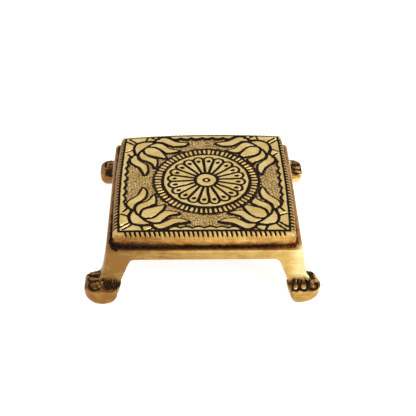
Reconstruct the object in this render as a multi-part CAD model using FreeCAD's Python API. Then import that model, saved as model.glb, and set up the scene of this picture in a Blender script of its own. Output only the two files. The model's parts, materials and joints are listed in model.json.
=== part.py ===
import FreeCAD, Part
import math
import os

# Cast brass bajot, a low table for a shrine: a chased top plate that sits on a frame with four splayed legs.
# Millimetres, +Z up, front towards -Y. The origin is on the floor under the middle of the four feet.

Vector = FreeCAD.Vector

# Leg frame: apron, seat for the plate, legs
ledge_length = 100.0
ledge_depth = 95.0
ledge_height = 27.0
ledge_corner_radius = 2.4
ledge_corner_facets = 5
apron_height = 5.6
frame_wall = 3.2
seat_thickness = 2.6
seat_width = 9.0
seat_corner_radius = 2.0
gusset_leg = 13.5
hem_height = 9.8
leg_splay = 3.2
splay_start_share = 0.76
leg_width_top = 12.4
leg_width_hem = 10.6
arch_corner_radius = 3.4

# Ankles and foot pads
foot_reach = 10.4
pad_size = 15.8
pad_height = 8.1
pad_corner_radius = 5.2
pad_inner_radius = 2.8
pad_undercut = 3.2
pad_height_shares = (0.0, 0.11, 0.4, 1.0)
pad_inset_shares = (1.0, 0.5, 0.12, 0.0)
pad_corner_facets = 5
radius_loss_share = 0.4
hem_lip = 0.5
ankle_rise = 2.0
ankle_corner_cut = 1.8
ankle_sink = 2.0

# Toes, in a row along one outer side of each pad
toe_width = 3.5
toe_rise = 1.2
toe_rim = 0.6
toe_first = 5.6
toe_pitch = 4.1
toe_count = 3
toe_end_facets = 5

# Top plate: rolled skirt, bevel for the beaded edge, flat field
plate_length = 93.4
plate_depth = 88.4
plate_shift_back = 0.6
plate_corner_radius = 1.6
side_bow = 0.9
front_bow = 0.2
bow_runs = 3
skirt_height = 5.4
skirt_wall = 3.3
skirt_inset = 0.9
skirt_height_shares = (0.0, 0.16, 0.45, 0.8, 1.0)
skirt_inset_shares = (1.0, 0.1, 0.0, 0.1, 0.4)
bevel_height = 2.5
bevel_width = 2.5
plate_thickness = 3.0

# Ornament cut into the field
ground_sink = 0.5
groove_sink = 0.8
line_width = 0.9
band_width = 3.2
scallop_pitch = 6.0
scallop_bulge = 1.0
scallop_facets = 4
notch_pitch = 2.15
notch_width = 1.1
notch_sink = 0.5
notch_margin = 7.6

medallion_rise = 0.9
rosette_shift_right = 1.7
rosette_shift_back = 0.2
eye_radius = 0.7
eye_ring_width = 1.0
hub_radius = 5.1
hub_groove_width = 1.4
petal_count = 20
petal_gap = 1.0
petal_end_radius = 17.2
petal_end_facets = 5
petal_groove_width = 1.1
rosette_band_width = 2.1
bead_ring_inner_groove = 1.3
bead_length = 4.3
bead_ring_outer_groove = 1.1
bead_pitch = 2.04
bead_gap = 0.65
bead_point = 0.9

lotus_length = 22.0
lotus_corner_inset = 7.0
lotus_angle = 40.0
# Outlines of the lotus in shares of its length: along its axis from the stem, and across it
teardrop_shares = ((0.305, 0.0), (0.345, 0.114), (0.5, 0.155), (0.76, 0.093), (0.964, 0.0))
flame_shares = ((0.33, 0.2), (0.364, 0.332), (0.445, 0.409), (0.72, 0.388), (1.018, 0.445), (0.93, 0.285),
                (0.795, 0.118), (0.6, 0.205), (0.33, 0.2))
leaf_shares = ((0.3, 0.4), (0.3, 0.5), (0.38, 0.63), (0.7, 0.715), (1.0, 0.814), (0.89, 0.56), (0.773, 0.455),
               (0.53, 0.472), (0.3, 0.4))
cup_shares = ((0.014, 0.0), (0.13, 0.19), (0.29, 0.32), (0.265, 0.16), (0.25, 0.0))
halo_shares = ((-0.045, 0.0), (0.05, 0.215), (0.232, 0.377), (0.245, 0.5), (0.295, 0.63), (0.409, 0.723),
               (0.573, 0.736))
lotus_facets = 3
corner_block_share = 0.295
corner_block_reach_share = 2.0

# Screws from below, and the bosses that they hold
screw_radius = 1.5
screw_clearance = 0.2
thread_clearance = 0.05
screw_head_radius = 2.7
screw_head_height = 1.7
screw_bite = 3.2
screw_slot_width = 0.7
screw_slot_depth = 0.7
screw_inset = 4.0
boss_radius = 3.6
tap_depth = 3.9

overrun = 1.0

half_ledge_length = ledge_length / 2
half_ledge_depth = ledge_depth / 2
seat_underside = ledge_height - seat_thickness
pad_outer_x = half_ledge_length + foot_reach
pad_outer_y = half_ledge_depth + foot_reach
half_plate_length = plate_length / 2
half_plate_depth = plate_depth / 2
arris_height = ledge_height + skirt_height
field_height = arris_height + bevel_height
medallion_top = field_height + medallion_rise
half_field_length = half_plate_length - skirt_inset * skirt_inset_shares[-1] - bevel_width
half_field_depth = half_plate_depth - skirt_inset * skirt_inset_shares[-1] - bevel_width
screw_x = half_ledge_length - seat_width - screw_inset
screw_y = half_ledge_depth - seat_width - screw_inset
hub_groove_outer = hub_radius + hub_groove_width
petal_tip_radius = petal_end_radius * math.sin(math.pi / petal_count) - petal_gap / 2
scallop_radius = petal_tip_radius + petal_groove_width
band_outer_radius = petal_end_radius + scallop_radius + rosette_band_width
bead_inner_radius = band_outer_radius + bead_ring_inner_groove
bead_outer_radius = bead_inner_radius + bead_length
ring_outer_radius = bead_outer_radius + bead_ring_outer_groove


def faceted(edge, facets):
    """The points of an edge, split in equal straight facets, without the last one."""
    return edge.discretize(facets + 1)[:-1]


def closed(points):
    """A closed wire of straight lines."""
    return Part.makePolygon(points + [points[0]])


def stacked(levels):
    """A solid between level outlines of as many points each, with flat faces where four points allow it."""
    faces = [Part.Face(closed(levels[0])), Part.Face(closed(levels[-1]))]
    for low, high in zip(levels, levels[1:]):
        for i in range(len(low)):
            quad = [low[i - 1], low[i], high[i], high[i - 1]]
            wire = closed(quad)
            try:
                faces.append(Part.Face(wire))
            except Part.OCCError:
                faces.append(Part.Face(closed([quad[0], quad[1], quad[2]])))
                faces.append(Part.Face(closed([quad[0], quad[2], quad[3]])))
    return Part.makeSolid(Part.makeShell(faces))


def rounded_edges(points, radii, place):
    """The turns and the straight runs round flat points, each corner turned with its own radius."""
    turns = []
    runs = []
    previous_end = None
    first_start = None
    count = len(points)
    for i in range(count):
        corner = Vector(points[i][0], points[i][1], 0)
        before = Vector(points[i - 1][0], points[i - 1][1], 0) - corner
        after = Vector(points[(i + 1) % count][0], points[(i + 1) % count][1], 0) - corner
        before.normalize()
        after.normalize()
        half_angle = before.getAngle(after) / 2
        reach = radii[i] / math.tan(half_angle)
        start = corner + before * reach
        end = corner + after * reach
        bisector = before + after
        bisector.normalize()
        middle = corner + bisector * (radii[i] / math.sin(half_angle) - radii[i])
        turns.append(Part.Arc(place(start), place(middle), place(end)).toShape())
        if previous_end is not None:
            runs.append(Part.LineSegment(place(previous_end), place(start)).toShape())
        else:
            first_start = start
        previous_end = end
    runs.append(Part.LineSegment(place(previous_end), place(first_start)).toShape())
    return turns, runs


def rounded_outline(points, radii, place):
    """The closed wire of an outline with rounded corners."""
    turns, runs = rounded_edges(points, radii, place)
    return Part.Wire(Part.__sortEdges__(turns + runs))


def stepped_outline(points, radii, place, facets):
    """The points of an outline whose corners are turned in straight steps."""
    turns, runs = rounded_edges(points, radii, place)
    stepped = []
    for turn in turns:
        stepped.extend(turn.discretize(facets + 1))
    return stepped


def at_height(z):
    """Places flat points in the horizontal plane at z."""
    return lambda p: Vector(p.x, p.y, z)


def rectangle_points(half_length, half_depth):
    x = half_length
    y = half_depth
    return [(-x, -y), (x, -y), (x, y), (-x, y)]


def mirrored_to_corners(shape):
    """The four copies of a shape that is modelled in the back right corner, by place name."""
    to_left = shape.mirror(Vector(0, 0, 0), Vector(1, 0, 0))
    to_front = shape.mirror(Vector(0, 0, 0), Vector(0, 1, 0))
    to_front_left = to_left.mirror(Vector(0, 0, 0), Vector(0, 1, 0))
    return {"back_right": shape, "back_left": to_left, "front_right": to_front, "front_left": to_front_left}


def splay_at(z):
    """How far the legs' outer faces have leant out at height z: nothing at the ledge, most at the hem."""
    drop_share = (ledge_height - z) / (ledge_height - hem_height)
    return leg_splay * drop_share * (splay_start_share + (1 - splay_start_share) * drop_share)


def splayed_block(inset, low, high):
    """The flared box between two heights whose sides stand inset from the outside of apron and legs."""
    sections = []
    for share in (0, 1 / 3, 2 / 3, 1):
        z = high + (low - high) * share
        spread = splay_at(z) - inset
        points = rectangle_points(half_ledge_length + spread, half_ledge_depth + spread)
        corner = max(ledge_corner_radius - inset, ledge_corner_radius / 3)
        sections.append(stepped_outline(points, [corner] * 4, at_height(z), ledge_corner_facets))
    return stacked(sections)


def arch(half_span, along_x):
    """The opening between two legs, right through the frame: legs taper down from a rounded top corner."""
    top = ledge_height - apron_height
    half_top = half_span - leg_width_top
    half_hem = half_span + leg_splay - leg_width_hem
    slope = (half_hem - half_top) / (top - hem_height)
    low = -overrun
    half_low = half_top + slope * (top - low)
    reach = half_ledge_length + half_ledge_depth
    points = [(-half_low, low), (half_low, low), (half_top, top), (-half_top, top)]
    radii = [overrun / 2, overrun / 2, arch_corner_radius, arch_corner_radius]
    if along_x:
        wire = rounded_outline(points, radii, lambda p: Vector(p.x, -reach, p.y))
        return Part.Face(wire).extrude(Vector(0, 2 * reach, 0))
    wire = rounded_outline(points, radii, lambda p: Vector(-reach, p.x, p.y))
    return Part.Face(wire).extrude(Vector(2 * reach, 0, 0))


def seat_opening():
    """The hole in the middle of the seat, its corners cut off to leave gussets for the screws."""
    x = half_ledge_length - seat_width
    y = half_ledge_depth - seat_width
    g = gusset_leg
    back = [(x, y - g), (x - g, y), (g - x, y), (-x, y - g)]
    front = [(-x, g - y), (g - x, -y), (x - g, -y), (x, g - y)]
    points = back + front
    wire = rounded_outline(points, [seat_corner_radius] * 8, at_height(seat_underside - overrun))
    return Part.Face(wire).extrude(Vector(0, 0, seat_thickness + 2 * overrun))


def foot_pad():
    """The back right pad: a bun-shaped block, its outer corner strongly rounded, narrower at the sole."""
    sections = []
    for height_share, inset_share in zip(pad_height_shares, pad_inset_shares):
        inset = pad_undercut * inset_share
        low_x = pad_outer_x - pad_size + inset
        low_y = pad_outer_y - pad_size + inset
        high_x = pad_outer_x - inset
        high_y = pad_outer_y - inset
        points = [(low_x, low_y), (high_x, low_y), (high_x, high_y), (low_x, high_y)]
        inner = pad_inner_radius - radius_loss_share * inset
        outer = pad_corner_radius - radius_loss_share * inset
        radii = [inner, inner, outer, inner]
        place = at_height(pad_height * height_share)
        sections.append(stepped_outline(points, radii, place, pad_corner_facets))
    return stacked(sections)


def ankle():
    """The solid between the back right pad and the leg walls above it, set back under the legs' hem."""
    outside = splay_at(hem_height) - hem_lip
    high_x = half_ledge_length + outside
    high_y = half_ledge_depth + outside
    low_x = half_ledge_length + leg_splay - leg_width_hem
    low_y = half_ledge_depth + leg_splay - leg_width_hem
    low_x = max(low_x, pad_outer_x - pad_size + hem_lip)
    low_y = max(low_y, pad_outer_y - pad_size + hem_lip)
    cut = ankle_corner_cut
    cut_corner = [(high_x, high_y - cut), (high_x - cut, high_y)]
    points = [(low_x, low_y), (high_x, low_y)] + cut_corner + [(low_x, high_y)]
    wire = closed([Vector(x, y, pad_height - ankle_sink) for x, y in points])
    return Part.Face(wire).extrude(Vector(0, 0, hem_height + ankle_rise - pad_height + ankle_sink))


def toe(inner_end, outer_end):
    """One raised toe on a pad: a straight bar with a round outer end."""
    direction = outer_end - inner_end
    direction.normalize()
    side = Vector(-direction.y, direction.x, 0) * (toe_width / 2)
    ahead = direction * (toe_width / 2)
    tip = Part.Arc(outer_end + side, outer_end + ahead, outer_end - side).toShape()
    points = [inner_end + side] + faceted(tip, toe_end_facets) + [outer_end - side, inner_end - side]
    return Part.Face(closed(points)).extrude(Vector(0, 0, toe_rise + ankle_sink))


def toes(face_right):
    """The toes of the back right foot, which face right or back, in a row from the pad's outer corner."""
    z = pad_height - ankle_sink
    root = leg_splay - hem_lip + (half_ledge_length if face_right else half_ledge_depth)
    end = (pad_outer_x if face_right else pad_outer_y) - toe_rim - toe_width / 2
    row = []
    for i in range(toe_count):
        back = toe_first + i * toe_pitch
        into_corner = max(0, pad_corner_radius - back + toe_width / 2)
        tip = end - pad_corner_radius + math.sqrt(pad_corner_radius ** 2 - into_corner ** 2)
        if face_right:
            row.append(toe(Vector(root, pad_outer_y - back, z), Vector(tip, pad_outer_y - back, z)))
        else:
            row.append(toe(Vector(pad_outer_x - back, root, z), Vector(pad_outer_x - back, tip, z)))
    return row


def leg_frame():
    """Apron, seat, legs and feet, one casting."""
    frame = splayed_block(0, hem_height, ledge_height)
    frame = frame.cut(splayed_block(frame_wall, hem_height - overrun, seat_underside))
    holes = [seat_opening(), arch(half_ledge_length, True), arch(half_ledge_depth, False)]
    hole = Part.makeCylinder(screw_radius + screw_clearance, seat_thickness + 2 * overrun,
                             Vector(screw_x, screw_y, seat_underside - overrun))
    holes.extend(mirrored_to_corners(hole).values())
    frame = frame.cut(holes)
    foot = foot_pad().fuse(ankle())
    feet = list(mirrored_to_corners(foot).values())
    side_toes = mirrored_to_corners(Part.makeCompound(toes(True)))
    end_toes = mirrored_to_corners(Part.makeCompound(toes(False)))
    for place, row in (("front_left", side_toes), ("back_right", side_toes),
                       ("front_right", end_toes), ("back_left", end_toes)):
        feet.extend(row[place].Solids)
    return frame.fuse(feet).removeSplitter()


def bow_at(along, half_run, bow):
    """How far a bowed side stands out at a distance along it, in straight runs between fixed stations."""
    station = half_run / bow_runs
    low = math.floor(abs(along) / station)
    low = min(low, bow_runs - 1)
    share = abs(along) / station - low
    near = bow * (1 - (low / bow_runs) ** 2)
    far = bow * (1 - ((low + 1) / bow_runs) ** 2)
    return near + (far - near) * share


def bowed_outline(inset, z):
    """The points round the plate at height z: its sides bow out, and the corners are a little rounded."""
    r = plate_corner_radius
    shoulder = r * (1 - math.sqrt(0.5))
    bows = ((0, -1, front_bow), (1, 0, side_bow), (0, 1, side_bow), (-1, 0, side_bow))
    points = []
    for out_x, out_y, bow in bows:
        full_run = half_plate_depth if out_x else half_plate_length
        reach = (half_plate_length if out_x else half_plate_depth) - inset
        end_run = full_run - inset - r
        stations = [full_run * k / bow_runs for k in range(1 - bow_runs, bow_runs)]
        for along in [-end_run] + stations + [end_run]:
            out = reach + bow_at(along, full_run, bow)
            x = out_x * out - out_y * along
            y = out_y * out + out_x * along
            points.append(Vector(x, plate_shift_back + y, z))
        turn_x = out_x * (reach - shoulder) - out_y * (end_run + r - shoulder)
        turn_y = out_y * (reach - shoulder) + out_x * (end_run + r - shoulder)
        points.append(Vector(turn_x, plate_shift_back + turn_y, z))
    return points


def plate_blank():
    """The plate before it is chased: rolled skirt, bevel, flat field, and the hollow with its bosses."""
    levels = []
    for height_share, inset_share in zip(skirt_height_shares, skirt_inset_shares):
        levels.append(bowed_outline(skirt_inset * inset_share, ledge_height + skirt_height * height_share))
    levels.append(bowed_outline(skirt_inset * skirt_inset_shares[-1] + bevel_width, field_height))
    blank = stacked(levels)
    hollow_plan = Part.Face(closed(bowed_outline(skirt_wall, ledge_height - overrun)))
    hollow = hollow_plan.extrude(Vector(0, 0, field_height - plate_thickness - ledge_height + overrun))
    boss_height = field_height - plate_thickness - ledge_height
    boss = Part.makeCylinder(boss_radius, boss_height, Vector(screw_x, screw_y, ledge_height))
    blank = blank.cut(hollow.cut(list(mirrored_to_corners(boss).values())))
    tap = Part.makeCylinder(screw_radius + thread_clearance, tap_depth + overrun,
                            Vector(screw_x, screw_y, ledge_height - overrun))
    return blank.cut(list(mirrored_to_corners(tap).values()))


def lotus_point(along, across, side, corner):
    """A point of one corner's lotus, given in shares of its length, on one side of its axis."""
    turn = math.radians(lotus_angle)
    u = along * lotus_length
    w = across * lotus_length * side
    x = half_field_length - lotus_corner_inset - u * math.cos(turn) + w * math.sin(turn)
    y = half_field_depth - lotus_corner_inset - u * math.sin(turn) - w * math.cos(turn)
    return Vector(corner[0] * x, plate_shift_back + corner[1] * y, 0)


def lotus_outline(shares, corner):
    """A closed plan through points given in shares of the lotus's length, two by two along arcs."""
    points = [lotus_point(along, across, 1, corner) for along, across in shares]
    outline = []
    for i in range(0, len(points) - 2, 2):
        outline.extend(faceted(Part.Arc(points[i], points[i + 1], points[i + 2]).toShape(), lotus_facets))
    if points[-1].distanceToPoint(points[0]) > line_width:
        outline.append(points[-1])
    return Part.Face(closed(outline))


def both_halves(shares):
    """An outline from its right half: the half, then its mirror image on the way back."""
    return list(shares) + [(along, -across) for along, across in reversed(shares[:-1])]


def lotus_petals(corner):
    """The raised parts of one lotus: a teardrop between two flames, two leaves, and the cup under them."""
    faces = [lotus_outline(both_halves(shares), corner) for shares in (teardrop_shares, cup_shares)]
    for side in (1, -1):
        for shares in (flame_shares, leaf_shares):
            faces.append(lotus_outline([(along, side * across) for along, across in shares], corner))
    return faces


def lotus_halo(corner):
    """The sunk ground round the foot of one lotus."""
    left = [(along, -across) for along, across in reversed(halo_shares)]
    return lotus_outline(left + list(halo_shares[1:]), corner)


def corner_block(corner):
    """The corner of the field that stays raised behind one lotus."""
    far = corner_block_reach_share
    near = corner_block_share
    points = [lotus_point(near, far, 1, corner), lotus_point(near, far, -1, corner),
              lotus_point(near - far, far, -1, corner), lotus_point(near - far, far, 1, corner)]
    return Part.Face(closed(points))


def scalloped_field():
    """The plan of the field inside its border band, whose inner edge bulges in scallops."""
    x = half_field_length - band_width + scallop_bulge
    y = half_field_depth - band_width + scallop_bulge
    corners = [Vector(px, plate_shift_back + py, 0) for px, py in rectangle_points(x, y)]
    points = []
    for i in range(4):
        start = corners[i]
        run = corners[(i + 1) % 4] - start
        count = max(1, round(run.Length / scallop_pitch))
        inward = Vector(-run.y, run.x, 0)
        inward.normalize()
        for k in range(count):
            a = start + run * (k / count)
            b = start + run * ((k + 1) / count)
            bulge = Part.Arc(a, (a + b) / 2 + inward * scallop_bulge, b).toShape()
            points.extend(faceted(bulge, scallop_facets))
    return Part.Face(closed(points))


def rosette_centre():
    return Vector(rosette_shift_right, plate_shift_back + rosette_shift_back, 0)


def disc(radius, centre):
    return Part.Face(Part.Wire(Part.makeCircle(radius, centre)))


def petals():
    """The raised petals of the rosette, straight-sided with round ends."""
    centre = rosette_centre()
    half_sector = math.pi / petal_count
    shift = petal_gap / 2 / math.cos(half_sector)
    root = hub_groove_outer
    root_half = root * math.tan(half_sector) - shift
    end_half = petal_tip_radius * math.cos(half_sector)
    end = petal_end_radius + petal_tip_radius * math.sin(half_sector)
    tip = petal_end_radius + petal_tip_radius
    end_arc = Part.Arc(Vector(end, -end_half, 0), Vector(tip, 0, 0), Vector(end, end_half, 0)).toShape()
    end_points = end_arc.discretize(petal_end_facets + 1)
    face = Part.Face(closed([Vector(root, -root_half, 0)] + end_points + [Vector(root, root_half, 0)]))
    turned = []
    for i in range(petal_count):
        copy = face.copy()
        copy.rotate(Vector(0, 0, 0), Vector(0, 0, 1), 360 * (i + 1 / 2) / petal_count)
        copy.translate(centre)
        turned.append(copy)
    return turned


def rosette_ground():
    """The sunk floor of the rosette: a scalloped disc, less the petals and the hub."""
    centre = rosette_centre()
    half_sector = math.pi / petal_count
    cusp = petal_end_radius * math.cos(half_sector)
    cusp += math.sqrt(scallop_radius ** 2 - (petal_end_radius * math.sin(half_sector)) ** 2)
    points = []
    for i in range(petal_count):
        middle = 2 * math.pi * (i + 1 / 2) / petal_count
        tip = petal_end_radius + scallop_radius
        a = centre + Vector(cusp * math.cos(middle - half_sector), cusp * math.sin(middle - half_sector), 0)
        m = centre + Vector(tip * math.cos(middle), tip * math.sin(middle), 0)
        b = centre + Vector(cusp * math.cos(middle + half_sector), cusp * math.sin(middle + half_sector), 0)
        points.extend(faceted(Part.Arc(a, m, b).toShape(), scallop_facets))
    return Part.Face(closed(points)).cut(petals() + [disc(hub_radius, centre)])


def beads():
    """The raised radial beads of the ring round the rosette."""
    count = round(math.pi * (bead_inner_radius + bead_outer_radius) / bead_pitch)
    inner_half = math.pi * bead_inner_radius / count - bead_gap / 2
    outer_half = math.pi * bead_outer_radius / count - bead_gap / 2
    near = bead_inner_radius
    far = bead_outer_radius
    points = [(near, 0), (near + bead_point, -inner_half), (far - bead_point, -outer_half),
              (far, 0), (far - bead_point, outer_half), (near + bead_point, inner_half)]
    corners = [Vector(px, py, 0) for px, py in points]
    face = Part.Face(closed(corners))
    ring = []
    for i in range(count):
        copy = face.copy()
        copy.rotate(Vector(0, 0, 0), Vector(0, 0, 1), 360 * i / count)
        copy.translate(rosette_centre())
        ring.append(copy)
    return ring


def ring_ground():
    """The sunk floor of the bead ring."""
    centre = rosette_centre()
    return disc(ring_outer_radius, centre).cut([disc(band_outer_radius, centre)] + beads())


def field_ground():
    """The sunk, matted ground between the border, the corner lotuses and the bead ring."""
    corners = [(-1, -1), (1, -1), (1, 1), (-1, 1)]
    ground = scalloped_field().cut([corner_block(corner) for corner in corners])
    ground = ground.fuse([lotus_halo(corner) for corner in corners])
    raised = [disc(ring_outer_radius, rosette_centre())]
    for corner in corners:
        raised.extend(lotus_petals(corner))
    return ground.cut(raised)


def border_line():
    """The dark line between the border band and the beaded bevel."""
    x = half_field_length
    y = half_field_depth
    rings = []
    for grow in (0, -line_width):
        points = [Vector(px, plate_shift_back + py, 0) for px, py in rectangle_points(x + grow, y + grow)]
        rings.append(Part.Face(closed(points)))
    return rings[0].cut(rings[1])


def sunk(plan, top, depth):
    """The space that a chased area takes out of the face at height top."""
    plan = plan.copy()
    plan.translate(Vector(0, 0, top - depth))
    return plan.extrude(Vector(0, 0, depth + overrun))


def bevel_notches():
    """The filed notches that leave a row of beads along the bevel, all round but for the corners."""
    slope = Vector(-bevel_width, 0, bevel_height)
    slope_length = slope.Length
    slope.normalize()
    normal = Vector(slope.z, 0, -slope.x)
    start = normal * (-notch_sink) - slope * overrun
    half_top = notch_width
    top = normal * notch_sink - slope * overrun
    points = [start, top + Vector(0, half_top, 0), top - Vector(0, half_top, 0)]
    wedge = Part.Face(closed(points)).extrude(slope * (slope_length + overrun))
    arris_inset = skirt_inset * skirt_inset_shares[-1]
    x = half_plate_length
    y = half_plate_depth
    sides = ((0, y, x, side_bow), (90, x, y, side_bow), (180, y, x, side_bow), (270, x, y, front_bow))
    notches = []
    for turn, full_run, reach, bow in sides:
        count = int(2 * (full_run - notch_margin) / notch_pitch) + 1
        for k in range(count):
            along = (k - (count - 1) / 2) * notch_pitch
            out = reach - arris_inset + bow_at(along, full_run, bow)
            copy = wedge.copy()
            copy.translate(Vector(out, along, arris_height))
            copy.rotate(Vector(0, 0, 0), Vector(0, 0, 1), turn)
            copy.translate(Vector(0, plate_shift_back, 0))
            notches.append(copy)
    return notches


def top_plate():
    """The plate with its chased relief."""
    middle = rosette_centre()
    medallion = Part.makeCylinder(ring_outer_radius, medallion_rise + overrun,
                                  middle + Vector(0, 0, field_height - overrun))
    plate = plate_blank().fuse(medallion)
    eye = disc(eye_radius + eye_ring_width, middle).cut(disc(eye_radius, middle))
    cuts = [sunk(plan, medallion_top, groove_sink) for plan in (ring_ground(), rosette_ground(), eye)]
    cuts.append(sunk(field_ground(), field_height, ground_sink))
    cuts.append(sunk(border_line(), field_height, groove_sink))
    return plate.cut(cuts).cut(bevel_notches())


def fixing_screw():
    """The back right screw: slotted cheese head under the seat, shank up into the plate's boss."""
    head_low = seat_underside - screw_head_height
    head = Part.makeCylinder(screw_head_radius, screw_head_height, Vector(screw_x, screw_y, head_low))
    shank = Part.makeCylinder(screw_radius, ledge_height + screw_bite - seat_underside,
                              Vector(screw_x, screw_y, seat_underside))
    slot_corner = Vector(screw_x - screw_slot_width / 2, screw_y - screw_head_radius, head_low - overrun)
    slot = Part.makeBox(screw_slot_width, 2 * screw_head_radius, screw_slot_depth + overrun, slot_corner)
    return head.fuse(shank).cut(slot)


def write(name, shape):
    """One STEP file per piece."""
    solids = shape.Solids
    solid = solids[0] if len(solids) == 1 else Part.makeCompound(solids)
    print(name, "solids", len(solids), "valid", solid.isValid(), "volume", round(solid.Volume, 1))
    solid.exportStep(os.path.join("parts", name + ".step"))


os.makedirs("parts", exist_ok=True)
write("leg_frame", leg_frame())
write("top_plate", top_plate())
for place, screw in mirrored_to_corners(fixing_screw()).items():
    write("fixing_screw_" + place, screw)
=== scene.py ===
# %% [markdown]
# # A small cast brass bajot, dressed for the camera
# The low table has two castings: a frame with four splayed legs, and a tray-shaped top that is chased
# by hand and then blackened and rubbed, so that the dark stays in the hollows. The CAD model fixes
# every size. This script adds what CAD leaves plain: soft cast edges, the depth of the chasing, and the
# patina, with some painted light and shade on the rim and the frame.

import json
import math

import bmesh
import bpy
import numpy as np
from mathutils import Matrix, Vector

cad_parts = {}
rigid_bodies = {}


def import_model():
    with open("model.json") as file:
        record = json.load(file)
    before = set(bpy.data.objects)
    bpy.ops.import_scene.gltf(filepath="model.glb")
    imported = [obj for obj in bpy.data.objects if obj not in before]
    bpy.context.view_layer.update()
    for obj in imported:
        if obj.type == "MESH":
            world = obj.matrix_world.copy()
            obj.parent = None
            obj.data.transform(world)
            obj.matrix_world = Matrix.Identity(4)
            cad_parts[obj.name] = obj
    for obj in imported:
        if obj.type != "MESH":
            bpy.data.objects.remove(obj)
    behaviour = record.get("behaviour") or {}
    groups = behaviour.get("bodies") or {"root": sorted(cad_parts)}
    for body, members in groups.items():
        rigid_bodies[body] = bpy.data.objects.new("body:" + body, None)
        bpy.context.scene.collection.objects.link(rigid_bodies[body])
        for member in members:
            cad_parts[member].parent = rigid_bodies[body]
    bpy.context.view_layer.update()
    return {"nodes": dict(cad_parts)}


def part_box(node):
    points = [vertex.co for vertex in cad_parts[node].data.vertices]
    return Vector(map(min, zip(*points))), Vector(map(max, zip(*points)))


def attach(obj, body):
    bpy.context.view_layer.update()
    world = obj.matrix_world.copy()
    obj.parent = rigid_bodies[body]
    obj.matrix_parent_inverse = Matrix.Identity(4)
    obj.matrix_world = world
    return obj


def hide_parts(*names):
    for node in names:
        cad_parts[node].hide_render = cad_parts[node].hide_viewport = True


for leftover in list(bpy.data.objects):
    bpy.data.objects.remove(leftover)
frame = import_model()
MM = 0.001

# %% [markdown]
# ## Sizes from the frame
# The plate is read from its CAD node, so that the looks follow the frame. All sizes below are in
# millimetres, and a mesh is scaled to metres only when it is made. The bows are part of the CAD plate's
# outside, so they are taken off again to find the straight-sided field that the chaser divided.

# %% Sizes of the plate and of the ledge that carries it
plate_low, plate_high = [np.array(corner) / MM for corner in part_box("top_plate")]
ledge_height = plate_low[2]
top_height = plate_high[2]
ledge_half_x, ledge_half_y = 50.0, 47.5
skirt_height = 5.4
side_bow = 0.9
front_bow = 0.2
bevel_width = 2.5
arris_inset = 0.36
plate_half_x = (plate_high[0] - plate_low[0]) / 2 - side_bow
plate_half_y = (plate_high[1] - plate_low[1] - side_bow - front_bow) / 2
plate_shift_back = plate_high[1] - side_bow - plate_half_y
field_half_x = plate_half_x - arris_inset - bevel_width
field_half_y = plate_half_y - arris_inset - bevel_width
arris_height = ledge_height + skirt_height
print("half sizes of the field:", round(field_half_x, 2), round(field_half_y, 2))

# %% [markdown]
# ## Helpers for shapes that are sums of simple fields
# A chased surface is easiest to describe as a height over every point of a plan. `smooth_step` makes a
# soft edge and `smooth_fall` the same edge the other way round, `wander` bends straight lines a little,
# as a hand does, and `depth_inside` says how deep a point lies inside an outline (less than nothing when
# it is outside). Cutting every line with a boolean would also work, but hundreds of cuts are slow, and
# their edges would all be as sharp as a knife.


# %% Soft edges and wandering lines
def smooth_step(low, high, value):
    """Rises from 0 at the low value to 1 at the high one."""
    share = np.clip((value - low) / (high - low), 0, 1)
    return share * share * (3 - 2 * share)


def smooth_fall(low, high, value):
    """Falls from 1 at the low value to 0 at the high one."""
    return 1 - smooth_step(low, high, value)


def wander(x, y, size, seed):
    """A smooth variation between about -1 and 1, with bumps of the size given."""
    rng = np.random.default_rng(seed)
    total = 0
    strengths = (1, 1, 0.7, 0.7, 0.4, 0.4)
    for strength in strengths:
        turn, phase = rng.uniform(0, 2 * math.pi, 2)
        k = 2 * math.pi / (size * (0.3 + 0.7 * strength))
        total = total + strength * np.sin(k * (x * math.cos(turn) + y * math.sin(turn)) + phase)
    return total / sum(strengths)


def standing(depth):
    """1 where the surface stands up, 0 where it is cut away, with a steep wall between."""
    return smooth_step(-0.15, 0.2, depth)


# %% Smooth outlines with sharp tips
def smooth_run(points, steps=5):
    """A curve that passes smoothly through the points, without its last point."""
    path = [np.array(point, float) for point in points]
    path = [2 * path[0] - path[1]] + path + [2 * path[-1] - path[-2]]
    curve = []
    for a, b, c, d in zip(path, path[1:], path[2:], path[3:]):
        for k in range(steps):
            t = k / steps
            bend = (2 * a - 5 * b + 4 * c - d) * t**2 + (3 * b - a - 3 * c + d) * t**3
            curve.append(b + 0.5 * ((c - a) * t + bend))
    return curve


def closed_outline(runs):
    """An outline from smooth runs that meet in sharp tips."""
    return [point for run in runs for point in smooth_run(run)]


def depth_inside(x, y, outline, reach=3.0):
    """Distance to a closed outline, positive inside it, and cut off at the reach outside it."""
    outline = np.array(outline)
    depth = np.full(x.shape, -reach)
    low, high = outline.min(axis=0) - reach, outline.max(axis=0) + reach
    near = np.nonzero((x > low[0]) & (x < high[0]) & (y > low[1]) & (y < high[1]))
    px, py = x[near], y[near]
    nearest = np.full(px.shape, reach)
    inside = np.zeros(px.shape, bool)
    for (ax, ay), (bx, by) in zip(outline, np.roll(outline, -1, axis=0)):
        ex, ey = bx - ax, by - ay
        t = np.clip(((px - ax) * ex + (py - ay) * ey) / (ex * ex + ey * ey), 0, 1)
        nearest = np.minimum(nearest, np.hypot(px - ax - t * ex, py - ay - t * ey))
        if ay != by:
            inside ^= ((ay > py) != (by > py)) & (px < ax + ex * (py - ay) / ey)
    depth[near] = np.where(inside, nearest, -nearest)
    return depth


far_away = 9.0


def line_distance(x, y, points):
    """Distance to an open line through the points."""
    nearest = np.full(np.shape(x), far_away)
    for (ax, ay), (bx, by) in zip(points, points[1:]):
        ex, ey = bx - ax, by - ay
        t = np.clip(((x - ax) * ex + (y - ay) * ey) / (ex * ex + ey * ey), 0, 1)
        nearest = np.minimum(nearest, np.hypot(x - ax - t * ex, y - ay - t * ey))
    return nearest


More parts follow.
